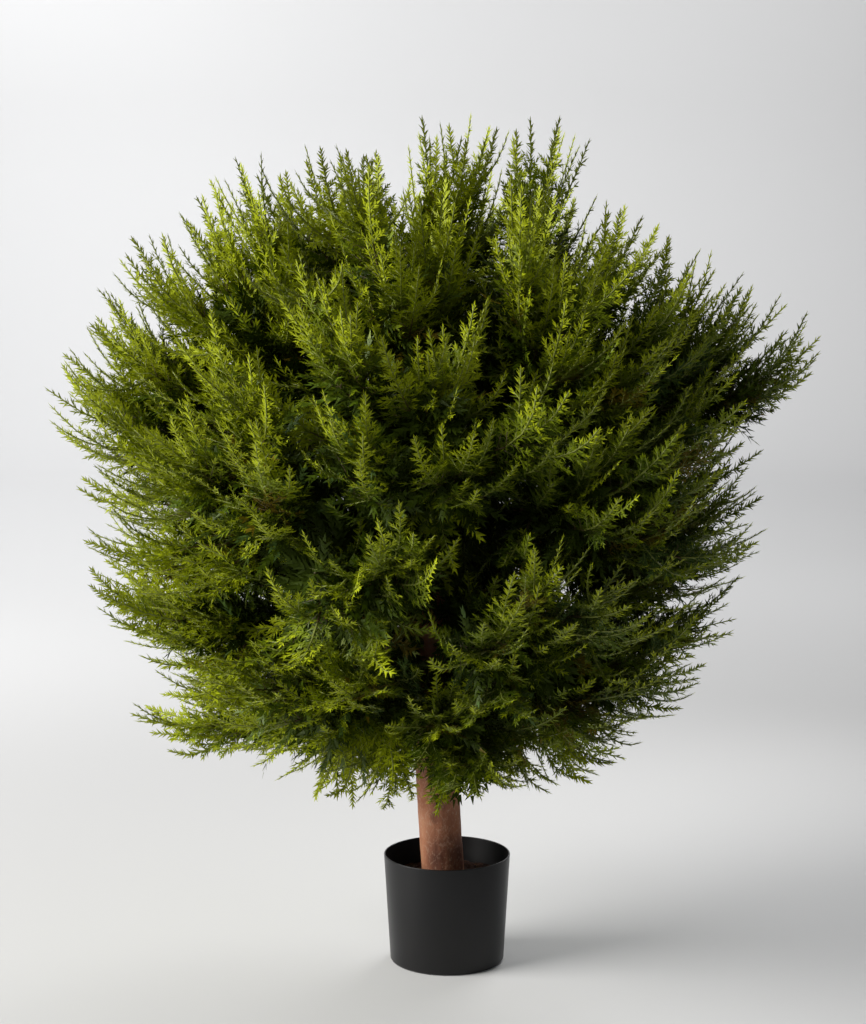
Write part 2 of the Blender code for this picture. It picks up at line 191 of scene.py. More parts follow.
foot_ring = POT_BASE_RADIUS - POT_FOOT_RING
pot_profile = [(0.0, POT_RECESS[1]), (foot_ring - POT_RECESS[0], POT_RECESS[1]), (foot_ring, 0.0)]
pot_profile += arc(pot_radius(POT_FOOT_EDGE) - POT_FOOT_EDGE, POT_FOOT_EDGE, POT_FOOT_EDGE,
                   -90, 0, 8)
lip = POT_WALL / 2
pot_profile += arc(POT_RIM_RADIUS - lip, POT_HEIGHT - lip, lip, 0, 180, 8)
pot_profile += [(pot_radius(POT_FLOOR) - POT_WALL, POT_FLOOR), (0.0, POT_FLOOR)]

pot_black = finish_of("satin_black_polypropylene", (0.008, 0.008, 0.0085), 0.36, 0.28)
patterned(pot_black, "Roughness", grain(pot_black, 26.0, 5.0, (1.0, 1.0, 0.4)),
          (0.30, 0.32), (0.75, 0.42))
patterned(pot_black, "Base Color", grain(pot_black, 9.0, 6.0),
          (0.35, (0.007, 0.007, 0.0075)), (0.80, (0.012, 0.0115, 0.011)))
relief(pot_black, grain(pot_black, 900.0, 2.0), 0.00006)
placed(mesh_from(spun(pot_profile, POT_STEPS), "nursery_pot"), [pot_black], ["pot"])


# ---------------------------- cement
# The casting that holds the pole and weights the pot: grey cement, poured in and left rough.
# Only its CAD solid is needed, as the fibre layer lies over it.
cement_grey = finish_of("rough_grey_cement", (0.30, 0.29, 0.27), 0.92)
cement_grain = grain(cement_grey, 60.0, 8.0)
patterned(cement_grey, "Base Color", cement_grain, (0.3, (0.20, 0.19, 0.18)),
          (0.7, (0.36, 0.35, 0.33)))
relief(cement_grey, cement_grain, 0.0008)
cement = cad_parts["cement"]
for cement_slot in cement.material_slots:
    cement_slot.material = cement_grey


# ---------------------------- fibre topping
# A loose mat of dark red-brown coconut fibre, pressed over the cement and round the pole.
# It is a lumpy bed with many curled strands lying on it.
TOPPING_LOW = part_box("topping")[0].z
TOPPING_TOP = 0.0995
BED_RINGS = 26
BED_LUMP = 0.0016
BED_LUMPS_PER_METRE = 90.0
BED_EDGE = 0.006  # it lies smoother this close to the pot
BED_SINK = 0.4  # it is set lower by this share of its lumps' height
BED_GAP = 0.0004
STRAND_COUNT = 1500
STRAND_SPREAD = (0.10, 0.95)  # how far out they lie, as shares of the bed's area
STRAND_POINTS = 6
STRAND_LENGTH = (0.012, 0.034)
STRAND_CURL = 60  # how fast a strand turns, in radians a metre
STRAND_ARCH = (0.0002, 0.0042)
STRAND_RADIUS = 0.00035
STRAND_SUNK = 0.0004
STRAND_INSET = 0.004  # their middles stay this far inside its rim,
STRAND_CLEAR = 0.001  # and no part of them is nearer than this to its rim or the pole
POLE_RADIUS_AT_POT = 0.0252
POLE_LEAN = math.radians(2.8)
ODD_WAY = (0.31, 0.22, 0.93)  # no tube runs just this way,
NEARLY_UP = (0.03, 0.02, 1.0)  # and no bough or spray just this one
dealt = np.random.default_rng(7)


def pole_x(height):
    """Where the leaning pole's middle line is at a height."""
    return -math.tan(POLE_LEAN) * height


def unit(vectors):
    """The same directions, each one unit long."""
    return vectors / np.linalg.norm(vectors, axis=-1, keepdims=True)


def tubes(paths, radii):
    """Points and triangles of many three-sided tubes: paths are (tube, station, xyz)."""
    along = unit(np.gradient(paths, axis=1))
    first = unit(np.cross(along, ODD_WAY))
    second = np.cross(along, first)
    count, stations = paths.shape[:2]
    corners = []
    for corner in range(3):
        angle = math.tau * corner / 3
        offset = first * math.cos(angle) + second * math.sin(angle)
        corners.append(paths + offset * radii[..., None])
    points = np.stack(corners, axis=2).reshape(-1, 3)
    rings = np.arange(count * stations).reshape(count, stations) * 3
    faces = []
    for corner in range(3):
        here = rings[:, :-1].ravel() + corner
        beside = rings[:, :-1].ravel() + (corner + 1) % 3
        faces.append(np.stack([here, beside, beside + 3], axis=1))
        faces.append(np.stack([here, beside + 3, here + 3], axis=1))
    faces.append(rings[:, :1] + (2, 1, 0))
    faces.append(rings[:, -1:] + (0, 1, 2))
    return points, np.concatenate(faces)


def joined_mesh(name, points, faces, slots=None):
    """A mesh from arrays of points, triangles and, for each triangle, its material slot."""
    mesh = bpy.data.meshes.new(name)
    mesh.vertices.add(len(points))
    mesh.vertices.foreach_set("co", points.astype(np.float32).ravel())
    mesh.loops.add(faces.size)
    mesh.loops.foreach_set("vertex_index", faces.astype(np.int32).ravel())
    mesh.polygons.add(len(faces))
    mesh.polygons.foreach_set("loop_start", np.arange(0, faces.size, 3, dtype=np.int32))
    if slots is not None:
        mesh.polygons.foreach_set("material_index", slots.astype(np.int32))
    mesh.update(calc_edges=True)
    return mesh


bed_rim = pot_radius(TOPPING_TOP) - POT_WALL - BED_GAP
bed_foot = pot_radius(TOPPING_LOW) - POT_WALL - BED_GAP
bed_profile = [(bed_rim * ring / BED_RINGS, TOPPING_TOP) for ring in range(BED_RINGS + 1)]
bed_profile += [(bed_foot, TOPPING_LOW), (0.0, TOPPING_LOW)]
bed = spun(bed_profile, POT_STEPS)
for vert in bed.verts:
    if vert.co.z > (TOPPING_LOW + TOPPING_TOP) / 2:
        edge_share = min(1.0, (bed_rim - vert.co.xy.length) / BED_EDGE)
        lump = noise.fractal(vert.co * BED_LUMPS_PER_METRE, 1.0, 2.0, 4)
        vert.co.z += BED_LUMP * (lump * edge_share - BED_SINK)

turn = dealt.uniform(0, math.tau, STRAND_COUNT)
spread = np.sqrt(dealt.uniform(*STRAND_SPREAD, STRAND_COUNT)) * (bed_rim - STRAND_INSET)
heading = dealt.uniform(0, math.tau, STRAND_COUNT)
curl = dealt.uniform(-STRAND_CURL, STRAND_CURL, STRAND_COUNT)
strand_length = dealt.uniform(*STRAND_LENGTH, STRAND_COUNT)
station = np.linspace(-0.5, 0.5, STRAND_POINTS)
run = station[None, :] * strand_length[:, None]
bearing = heading[:, None] + run * curl[:, None]
strand_x = (spread * np.cos(turn))[:, None] + run * np.cos(bearing)
strand_y = (spread * np.sin(turn))[:, None] + run * np.sin(bearing)
arch = dealt.uniform(*STRAND_ARCH, STRAND_COUNT)[:, None] * (1 - 4 * station ** 2)[None, :]
strand_z = TOPPING_TOP - STRAND_SUNK + arch
reach = np.hypot(strand_x, strand_y)
pull = np.minimum(1.0, (bed_rim - STRAND_CLEAR) / reach)
strand_x = strand_x * pull
strand_y = strand_y * pull
from_pole = np.hypot(strand_x - pole_x(TOPPING_TOP), strand_y)
loose = from_pole.min(axis=1) > POLE_RADIUS_AT_POT + STRAND_CLEAR
strand_paths = np.stack([strand_x, strand_y, strand_z], axis=2)[loose]
strand_radii = np.full(strand_paths.shape[:2], STRAND_RADIUS)
strand_points, strand_faces = tubes(strand_paths, strand_radii)

fibre = finish_of("dark_coconut_fibre", (0.060, 0.024, 0.015), 0.85)
fibre_grain = grain(fibre, 240.0, 5.0)
patterned(fibre, "Base Color", fibre_grain, (0.30, (0.022, 0.011, 0.008)),
          (0.55, (0.075, 0.030, 0.019)), (0.80, (0.150, 0.070, 0.042)))
relief(fibre, fibre_grain, 0.0012)
placed(mesh_from(bed, "fibre_bed"), [fibre], ["topping"])
placed(joined_mesh("fibre_strands", strand_points, strand_faces), [fibre],
       ["topping"])


# ---------------------------- pole
# The trunk is a length of real wood, stripped to its smooth inner bark and lightly sealed:
# pinkish red-brown, mottled paler, with darker scars, and standing 2.8 degrees off upright.
POLE_FOOT, POLE_TOP = (corner.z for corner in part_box("trunk"))
POLE_RADII = (0.0250, 0.02325)
POLE_SWELL = 0.0007
POLE_SWELL_WAVES = (9, 23)
POLE_SIDES = 96
POLE_RINGS = 200
BARK_DENT = 0.00045
BARK_DENT_SCALE = 2.2
BARK_RIB = 0.00022
BARK_RIB_SCALE = 14
BARK_RISE = (14, 20)  # how fast the dents and ribs change up the pole, in units a metre
SCAR_WAVE = 0.25
SCAR_WAVE_SCALE = 5
SCAR_SQUEEZE = 0.7  # heights count for this much, so that a scar is taller than wide
# scars where side branches were cut: height, angle, width, how far they stand out
POLE_SCARS = ((0.196, -86, 0.013, -0.0007), (0.128, -50, 0.012, -0.0006),
              (0.335, 140, 0.012, 0.0011), (0.270, 35, 0.010, 0.0010),
              (0.450, -120, 0.011, 0.0010), (0.160, 170, 0.014, -0.0006))
# darker stains of old bark: height, angle, reach
BARK_STAINS = ((0.200, math.radians(-84), 0.016), (0.178, math.radians(-100), 0.011),
               (0.138, math.radians(-55), 0.021), (0.118, math.radians(-38), 0.015))
BARK_DUST = (0.46, 0.30, 0.20)


def rod(sides, rings):
    """A closed rod between heights 0 and 1, ringed evenly, for a rule to bend and thicken."""
    bm = bmesh.new()
    bmesh.ops.create_cone(bm, cap_ends=True, cap_tris=False, segments=sides,
                          radius1=1.0, radius2=1.0, depth=1.0)
    bmesh.ops.translate(bm, verts=bm.verts, vec=(0, 0, 0.5))
    upright = [edge for edge in bm.edges
               if abs(edge.verts[0].co.z - edge.verts[1].co.z) > 0.5]
    bmesh.ops.subdivide_edges(bm, edges=upright, cuts=rings - 1, use_grid_fill=True)
    return bm


pole = rod(POLE_SIDES, POLE_RINGS)
for vert in pole.verts:
    share = vert.co.z
    angle = math.atan2(vert.co.y, vert.co.x)
    height = POLE_FOOT + (POLE_TOP - POLE_FOOT) * share
    around = Vector((math.cos(angle), math.sin(angle), 0.0))
    radius = POLE_RADII[0] * (1 - share) + POLE_RADII[1] * share
    radius += POLE_SWELL * math.sin(2 * angle + POLE_SWELL_WAVES[0] * height)
    radius += POLE_SWELL * math.sin(angle + POLE_SWELL_WAVES[1] * height)
    place = Vector((around.x, around.y, height * BARK_RISE[0]))
    radius += BARK_DENT * noise.fractal(place * BARK_DENT_SCALE, 1.0, 2.0, 3)
    ribs = Vector((around.x * BARK_RIB_SCALE, around.y * BARK_RIB_SCALE,
                   height * BARK_RISE[1]))
    radius += BARK_RIB * noise.fractal(ribs, 1.0, 2.0, 3)
    for scar_height, scar_angle, width, rise in POLE_SCARS:
        off = math.remainder(angle - math.radians(scar_angle), math.tau) * POLE_RADII[0]
        away = math.hypot(off, (height - scar_height) * SCAR_SQUEEZE) / width
        if away < 1:
            wave = 1 + SCAR_WAVE * noise.noise(place * SCAR_WAVE_SCALE)
            radius += rise * wave * (1 - away * away) ** 2
    vert.co = (pole_x(height) + radius * around.x, radius * around.y, height)


def near(material, middle, reach):
    """One near a place on the object and nought beyond its reach, with a ragged edge."""
    place = added(material, "TexCoord", {}).outputs["Object"]
    away = added(material, "VectorMath", {0: place, 1: middle}, "DISTANCE").outputs["Value"]
    feeds = {0: grain(material, 55.0, 5.0), 1: reach, 2: away}
    ragged = added(material, "Math", feeds, "MULTIPLY_ADD").outputs[0]
    scaled = added(material, "Math", {0: ragged, 1: reach * 2}, "DIVIDE")
    return ramp(material, scaled.outputs[0], ((0.55, 0.85), (0.75, 0.0)))


bark = finish_of("smooth_red_brown_bark", (0.20, 0.10, 0.06), 0.60)
mottle = ramp(bark, grain(bark, 22.0, 7.0, (1.0, 1.0, 0.55)),
              ((0.28, (0.160, 0.050, 0.022)), (0.45, (0.300, 0.104, 0.046)),
               (0.58, (0.390, 0.155, 0.075)), (0.74, (0.500, 0.255, 0.140))))
patches = ramp(bark, grain(bark, 7.5, 3.0, (1.0, 1.0, 0.7)), ((0.40, 1.0), (0.52, 0.0)))
dark_skin = ramp(bark, grain(bark, 70.0, 6.0, (1.0, 1.0, 0.5)),
                 ((0.35, (0.110, 0.034, 0.016)), (0.65, (0.240, 0.084, 0.040))))
surface = blended(bark, patches, mottle, dark_skin)
for height, angle, reach in BARK_STAINS:
    middle = Vector((pole_x(height), 0.0, height))
    middle += POLE_RADII[0] * Vector((math.cos(angle), math.sin(angle), 0.0))
    surface = blended(bark, near(bark, middle, reach), surface, dark_skin)
# fine pale lines wander over the skin like a net, and pale dust lies in specks
lines = ramp(bark, grain(bark, 48.0, 5.0, (1.0, 1.0, 0.8)),
             ((0.485, 0.0), (0.50, 0.32), (0.515, 0.0)))
specks = ramp(bark, grain(bark, 330.0, 3.0, (1.0, 1.0, 0.8)), ((0.56, 0.0), (0.72, 0.45)))
for pattern in (lines, specks):
    pale = ramp(bark, pattern, ((0.0, BARK_DUST), (1.0, BARK_DUST)))
    surface = blended(bark, pattern, surface, pale)
wire(bark, surface, "Base Color")
fine = relief(bark, grain(bark, 420.0, 4.0, (1.0, 1.0, 0.6)), 0.0006)
relief(bark, grain(bark, 60.0, 6.0, (1.0, 1.0, 0.6)), 0.0010, fine)
patterned(bark, "Roughness", grain(bark, 30.0, 3.0), (0.3, 0.58), (0.7, 0.80))
placed(mesh_from(pole, "wood_pole"), [bark], ["trunk"])


# ---------------------------- boughs
# Steel wires in brown plastic sleeves, pushed into holes drilled in the pole.  They bend up
# as they leave it, and each has a collar at the pole and carries one mass of sprays.
FIRST_SPRAY = 0.320  # heights on the pole where the lowest and highest leave it
LAST_SPRAY = 0.610
UPSWEEP = 0.12
TILT_POWER = 2.3
CROWN_MIDDLE = np.array((-0.020, 0.0, 0.587))
CROWN_RADIUS = 0.400
# the ball's radius by rise in degrees, on its right and on its left
REACH_RISE = (-90, -60, -30, 0, 30, 60, 90)
REACH_RIGHT = (0.405, 0.412, 0.400, 0.402, 0.412, 0.378, 0.392)
REACH_LEFT = (0.405, 0.408, 0.418, 0.425, 0.430, 0.410, 0.392)
# each ring: its name, how many boughs, their rise, how far they step up and down by turns,
# and the first one's turn, in degrees
RINGS = (
    ("top", 1, 90, 0, 0),
    ("upper", 6, 51, 6, 18),
    ("middle", 7, 19, 8, 64),
    ("waist", 7, -13, 8, 40),
    ("lower", 7, -48, 9, 30),
)
BOUGH_START = 0.012  # how far from the pole's middle line a bough starts
BOUGH_REACH = 0.25  # where it ends, as a share of the way to the ball's skin
BOUGH_RADII = (0.0056, 0.0046)
BOUGH_SIDES = 14
BOUGH_RINGS = 30
COLLAR_LENGTH = 0.008
COLLAR_RISE = 0.0016
COLLAR_PLACE = 0.03
POLE_SKIN_RADIUS = 0.024
LEAST_SLOPE = 0.35  # the steepest boughs' collars aren't drawn out further
SLEEVE_LUMP = 0.06
SLEEVE_LUMPS_PER_METRE = 160


def root_height(rise):
    """Height on the pole where a line of that rise starts; rise runs from -90 to 90 degrees."""
    return FIRST_SPRAY + (LAST_SPRAY - FIRST_SPRAY) * (rise / math.pi + 0.5)


def tilt_at(rise, distance):
    """Angle above level of the point at a distance along a line."""
    share = rise / (math.pi / 2)
    tilt = math.pi / 2 * np.sign(share) * np.abs(share) ** TILT_POWER
    return tilt + UPSWEEP * (distance / CROWN_RADIUS) ** 2 * np.cos(tilt)


def spray_point(turn, rise, distance):
    """The point at a distance along the line of a turn and a rise."""
    tilt = tilt_at(rise, distance)
    height = root_height(rise)
    out = distance * np.cos(tilt)
    return np.stack([pole_x(height) + out * np.cos(turn), out * np.sin(turn),
                     height + distance * np.sin(tilt)], axis=-1)


def spray_coordinates(points):
    """Turn, rise and distance of points, by halving the range of their rise."""
    low = np.full(len(points), -math.pi / 2)
    high = np.full(len(points), math.pi / 2)
    for _ in range(30):
        rise = (low + high) / 2
        height = root_height(rise)
        x = points[:, 0] - pole_x(height)
        out = np.hypot(x, points[:, 1])
        up = points[:, 2] - height
        distance = np.hypot(out, up)
        above = np.arctan2(up, out) > tilt_at(rise, distance)
        low = np.where(above, rise, low)
        high = np.where(above, high, rise)
    return np.arctan2(points[:, 1], x), rise, distance


def direction(turn, rise):
    """The way that a turn and a rise point."""
    return np.stack([np.cos(rise) * np.cos(turn), np.cos(rise) * np.sin(turn),
                     np.sin(rise)], axis=-1)


def crown_reach(turn, rise):
    """Usual reach from the crown's middle, between its right and left outlines."""
    right = np.interp(math.degrees(rise), REACH_RISE, REACH_RIGHT)
    left = np.interp(math.degrees(rise), REACH_RISE, REACH_LEFT)
    share = (1 + math.cos(turn)) / 2
    return right * share + left * (1 - share)


def skin_point(turn, rise, share):
    """A point on the ball's skin, or at a share of the way out to it."""
    reach = crown_reach(turn, rise) * share
    return CROWN_MIDDLE + reach * direction(turn, rise)


def bough_plan():
    """Name, turn and rise of every bough's line, and how far along it the ball's skin is."""
    plan = []
    for ring, count, height, step, first in RINGS:
        for number in range(count):
            name = ring if count == 1 else "%s_%d" % (ring, number + 1)
            turn = math.radians(first + 360 * number / count)
            height_here = math.radians(height + step * (-1) ** number)
            aim = skin_point(turn, height_here, 1.0)[None]
            turns, rises, distances = spray_coordinates(aim)
            plan.append((name, float(turns[0]), float(rises[0]), float(distances[0])))
    return plan


def bent_rod(turn, rise, start, end, thickness):
    """A rod along a spray line; thickness gives its radius at a share of the way."""
    bm = rod(BOUGH_SIDES, BOUGH_RINGS)
    for vert in bm.verts:
        share = vert.co.z
        distance = start + (end - start) * share
        here = Vector(spray_point(turn, rise, distance))
        along = (Vector(spray_point(turn, rise, distance + 0.001)) - here).normalized()
        side = along.cross(Vector(NEARLY_UP)).normalized()
        radius = thickness(share)
        lumps = (vert.co.x * 2, vert.co.y * 2, distance * SLEEVE_LUMPS_PER_METRE)
        radius *= 1 + SLEEVE_LUMP * noise.noise(Vector(lumps))
        vert.co = here + radius * (side * vert.co.x + side.cross(along) * vert.co.y)
    bmesh.ops.recalc_face_normals(bm, faces=bm.faces)
    return bm


sleeve_brown = finish_of("brown_plastic_sleeve", (0.070, 0.045, 0.022), 0.55)
sleeve_grain = grain(sleeve_brown, 180.0, 4.0)
patterned(sleeve_brown, "Base Color", sleeve_grain, (0.3, (0.040, 0.026, 0.014)),
          (0.7, (0.095, 0.064, 0.030)))
relief(sleeve_brown, sleeve_grain, 0.0004)

boughs = bough_plan()
for name, turn, rise, skin in boughs:
    bough_end = BOUGH_REACH * skin
    pole_skin = POLE_SKIN_RADIUS / max(LEAST_SLOPE, math.cos(tilt_at(rise, COLLAR_PLACE)))

    def bough_thickness(share):
        along = BOUGH_START + (bough_end - BOUGH_START) * share
        collar = COLLAR_RISE * max(0.0, 1 - abs(along - pole_skin) / COLLAR_LENGTH)
        return BOUGH_RADII[0] * (1 - share) + BOUGH_RADII[1] * share + collar

    bough = bent_rod(turn, rise, BOUGH_START, bough_end, bough_thickness)
    placed(mesh_from(bough, "bough_sleeve_" + name), [sleeve_brown], ["bough_" + name])


# ---------------------------- spray plan
# Every mass is one stem with soft polyethylene sprays clipped along it.  The plan deals out
# the sprays' tips evenly over the ball, in two shells, and gives each to its nearest bough.

# each shell: how many sprays, and their least and most reach as shares of the ball's radius
SHELLS = ((160, 0.84, 1.00), (108, 0.56, 0.78))
# x and z of the tips that stand out round the ball, and of those that hang under it
LEADER_TIPS = (
    (0.124, 0.995), (0.227, 0.869), (0.335, 0.818), (0.395, 0.777), (0.431, 0.739),
    (0.363, 0.560), (0.366, 0.485), (0.292, 0.349), (0.081, 0.198),
    (-0.012, 0.971), (-0.236, 0.950), (-0.288, 0.903), (-0.362, 0.855), (-0.401, 0.798),
    (-0.448, 0.717), (-0.461, 0.680), (-0.393, 0.445), (-0.367, 0.294), (-0.149, 0.194),
)
FRINGE_TIPS = ((0.116, 0.213), (0.160, 0.215), (0.205, 0.249), (-0.085, 0.205))
LEADER_DEPTH = 0.030
LEADER_STEP = 2.4
FULLER_BELOW = 0.86  # below 1 it deals more sprays to the lower part
RISE_SCATTER = math.radians(3)
TURN_SCATTER = math.radians(4)
LONG_EVERY = 7
LONG_REACH = 1.06
LOW_RISE = math.radians(-60)
LOW_REACH = 0.95
LOWEST_TIP_RISE = -78
STEM_REACH = 0.70
SPRAY_ROOTS = (0.10, 0.75)
SHORTEST_SPRAY = 0.060
BRANCH_OUT = 0.095
DRAW_IN = 0.05
SEED = 22


def placed_tips(places):
    """Tips at given x and z, a little before or behind the middle."""
    return [(x, LEADER_DEPTH * math.sin(LEADER_STEP * number), z)
            for number, (x, z) in enumerate(places)]


def spray_tips(draw):
    """Tip of each spray, and whether it is an inner one: leaders, the ball's, the fringe."""
    tips = placed_tips(LEADER_TIPS)
    inner = [False] * len(LEADER_TIPS)
    golden = math.pi * (3 - math.sqrt(5))
    lowest = math.sin(math.radians(LOWEST_TIP_RISE))
    for count, shortest, longest in SHELLS:
        for number in range(count):
            rise = math.asin(1 - (1 - lowest) * ((number + 0.5) / count) ** FULLER_BELOW)
            rise += draw.uniform(-RISE_SCATTER, RISE_SCATTER)
            turn = number * golden + draw.uniform(-TURN_SCATTER, TURN_SCATTER)
            share = draw.uniform(shortest, longest)
            if longest == 1.0 and number % LONG_EVERY == 0:
                share = draw.uniform(1.0, LONG_REACH)
            if rise < LOW_RISE:
                share = min(share, LOW_REACH)
            tips.append(skin_point(turn, rise, share))
            inner.append(longest < 1.0)
    tips += placed_tips(FRINGE_TIPS)
    inner += [False] * len(FRINGE_TIPS)
    return np.array(tips), inner


def crown_plan(headings):
    """The sprays of each bough: heading, reach, root, roll, and whether they are inner ones."""
    draw = random.Random(SEED)
    tips, inner = spray_tips(draw)
    sprays = [[] for _ in boughs]
    for turn, rise, distance, inside in zip(*spray_coordinates(tips), inner):
        heading = direction(turn, rise)
        bough = int(np.argmax(headings @ heading))
        heading = heading + DRAW_IN * (headings[bough] - heading)
        first = BOUGH_REACH * boughs[bough][3]
        stem = STEM_REACH * boughs[bough][3] - first
        root = first + stem * draw.uniform(*SPRAY_ROOTS)
        roll = math.radians(draw.uniform(-90, 90))
        root = min(root, distance - SHORTEST_SPRAY)
        if root > first + stem * SPRAY_ROOTS[0]:
            sprays[bough].append((unit(heading), distance, root, roll, inside))
    return sprays


def spray_path(heading, distance, root, leaves, count):
    """Points along a spray: it leaves one heading, and turns to its own as it goes out."""
    reach = np.linspace(root, distance, count)
    share = np.clip((reach - root) / BRANCH_OUT, 0, 1)
    share = share * share * (3 - 2 * share)
    own = unit(leaves + share[:, None] * (heading - leaves))
    turn = np.arctan2(own[:, 1], own[:, 0])
    rise = np.arcsin(np.clip(own[:, 2], -1, 1))
    return spray_point(turn, rise, reach)


def spray_sides(along, roll):
    """The way across a spray at each station, rolled at its tip and carried down untwisted."""
    level = unit(np.cross(along[-1], NEARLY_UP))
    sides = [level * math.cos(roll) + np.cross(level, along[-1]) * math.sin(roll)]
    for heading in along[-2::-1]:
        side = sides[0] - heading * (sides[0] @ heading)
        sides.insert(0, unit(side))
    return np.array(sides)


bough_headings = np.array([direction(turn, rise) for _, turn, rise, _ in boughs])
planned_sprays = crown_plan(bough_headings)


# ---------------------------- sprays
# Each spray is a green wire-cored twig with flat side shoots, set left and right, that bear
# soft moulded needles like a herringbone.  Its tips are lime, and it darkens to its root, partly
# in its own colours and partly as painted shade.

# finer sprays that each planned one carries, outer and inner: how many, how far beside
# its tip theirs are, and how far behind it
SIDE_SPRAYS = ((8, (0.020, 0.062), (-0.015, 0.055)), (6, (0.030, 0.095), (-0.040, 0.060)))
SIDE_SKIN = 0.985  # and no further out than this share of the ball's skin,
SIDE_SHORT = 0.02  # or than the planned one's own share, less this
SIDE_ROOT = (0.05, 0.60)  # where they leave it, as shares of its length
SIDE_SPREAD = 0.35  # how far their tips turn away from its own
SIDE_SCATTER = 0.6  # how unevenly they stand round it, in radians
UPTURN = (0.05, 0.30)  # how far every tip curls up, or out where it hangs down
UPTURN_SIDE = (0.15, 0.75)
FLAT_SCATTER = 0.55  # how unevenly their flat sides lie, in radians
ROLL_KEPT = 0.6  # share of a planned spray's roll that its flat side keeps
PATH_POINTS = 13
# short ones beside the pole, on every bough's inner end: how far up their tips are
POLE_SPRAYS = {"lower": 20, "waist": 22, "middle": 16, "upper": 10, "top": 6}
POLE_SPRAY_RISE = (-0.14, 0.10)
POLE_SPRAY_SWING = 0.75
POLE_SPRAY_UPTURN = 8
SKIRT_RISE = (-0.17, -0.05)
SKIRT_DROOP = (-0.9, 0.1)
SKIRT_LOWEST = 0.215
SKIRT_UNEVEN = 0.03
POLE_SPRAY_ROOT = 0.11
POLE_SPRAY_OUT = 0.060

FROND_LENGTH = 0.170  # the leafy part, from the tip down
BARE_ROOT = 0.010
BARE_LEADER = 0.016  # needles but no shoots on this end
SHOOT_PITCH = 0.0095
SHOOT_SLOPE = 0.37  # how fast shoots lengthen with distance from the tip,
SHOOT_SHORT = 0.002  # less this
SHOOT_LONGEST = 0.042
SHOOT_ANGLE = math.radians(40)
SHOOT_SCATTER = 0.09  # of that angle, in radians
SHOOT_LIFT = (-0.34, 0.50)  # how far they stand out of the spray's flat side
SHOOT_GROWTH = (0.80, 1.12)
TWIG_SHOOT_OVER = 0.017  # shoots longer than this carry shoots of their own
TWIG_SHOOT_PITCH = 0.0085
TWIG_SHOOT_FIRST = 0.005  # they grow from this far along it,
TWIG_SHOOT_CLEAR = 0.004  # and their number is worked out for all but this much of it
TWIG_SHOOT_SLOPE = 0.45
TWIG_SHOOT_LEAST = 0.002
TWIG_SHOOT_SIZES = (0.004, 0.013)
TWIG_SHOOT_SCATTER = 0.10
TWIG_SHOOT_LIFT = 0.3
TWIG_SHOOT_GROWTH = (0.8, 1.1)
SHADED_PITCH = 0.0085
SHADED_LENGTH = (0.030, 0.060)
SHADED_ANGLE = (0.6, 1.2)  # how far they lean off the spray, in radians
SHADED_LEAST = 0.35  # their length at its outer end, as a share
SHADED_TAPER = 0.15
SHADED_FROM = 0.75  # they start behind this share of the leafy part
SHADE_BEHIND = 0.06  # they are coloured as if this much further from the tip, a painted shade
STEM_SHOOT_PITCH = 0.0019
STEM_SHOOT_LENGTH = (0.055, 0.120)
BOUGH_SHOOT_PITCH = 0.0018
BOUGH_SHOOT_LENGTH = (0.060, 0.125)
BOUGH_SHOOTS_FROM = 0.034

NEEDLE_LENGTH = 0.0088
NEEDLE_WIDTH = 0.0025
NEEDLE_PITCH = 0.0020
NEEDLE_ANGLE = math.radians(46)
NEEDLE_SCATTER = 0.08
LAST_NEEDLE_ANGLE = 0.05
NEEDLE_LIFTS = (0.42, -0.30)  # they stand out of the plane by these, two and two
NEEDLE_CLOSING = 0.35  # how much nearer to its shoot the last one lies
NEEDLE_SHORTENING = 0.30  # and how much shorter it is
NEEDLE_GROWTH = (0.85, 1.15)
NEEDLE_BREADTH = (0.9, 1.1)
NEEDLE_FOLD = 0.25  # how deep a needle is folded along its middle, of its width
LEADER_TAPER = 0.018  # needles get shorter over this last part of a spray
INNER_COARSENESS = 1.35  # inner sprays have this much larger and fewer needles
BACK_COARSENESS = 1.6  # and so do the shaded shoots behind each leafy part
STEM_COARSENESS = 1.9

TWIG_WIDTH = 0.0014
WIRE_RADII = (0.0017, 0.0006)  # a spray's own wire-cored twig, root and tip
STEM_RADII = (0.0044, 0.0016)
POLE_GAPS = (0.001, 0.002)  # needles and shoots nearer to its side and its top are left out
STEM_GAP = 0.0003  # a stem starts this far past its bough's end
STEM_POINTS = 12

# plain colours and gloss, dealt out by spray and by how far back from its tip a shoot grows; the
# darker greens deep in the ball are partly painted shade
SPRAY_COLOURS = (
    ("needles_lime", (0.350, 0.405, 0.008), 0.22),
    ("needles_fresh", (0.158, 0.208, 0.005), 0.22),
    ("needles_green", (0.066, 0.105, 0.003), 0.20),
    ("needles_deep", (0.034, 0.053, 0.004), 0.10),
    ("needles_bluish", (0.055, 0.095, 0.020), 0.12),
    ("needles_olive", (0.160, 0.120, 0.007), 0.15),
)
LIME, FRESH, GREEN, DEEP, BLUISH, OLIVE = range(6)
BLUISH_SHARE = 0.13  # of the sprays
OLIVE_SHARE = 0.12
# a needle's shade is nought at a tip and one this far back; these are the shades at which
# lime gives way, then fresh green, then the spray's own middle colour; the darkening is partly
# the sprays' own colours and partly painted shade
SHADE_LENGTH = 0.115
LIME_UNTIL = (0.10, 0.34)
FRESH_UNTIL = 0.62
MIDDLE_UNTIL = 1.15
SHOOT_TIP_LIMER = 0.32  # how much less shaded the tip of a side shoot is
TINT_SCATTER = 0.16
PAINTED_LIGHT_ABOVE = 0.38  # how much lighter the sprays on the ball's top are coloured, a painted light
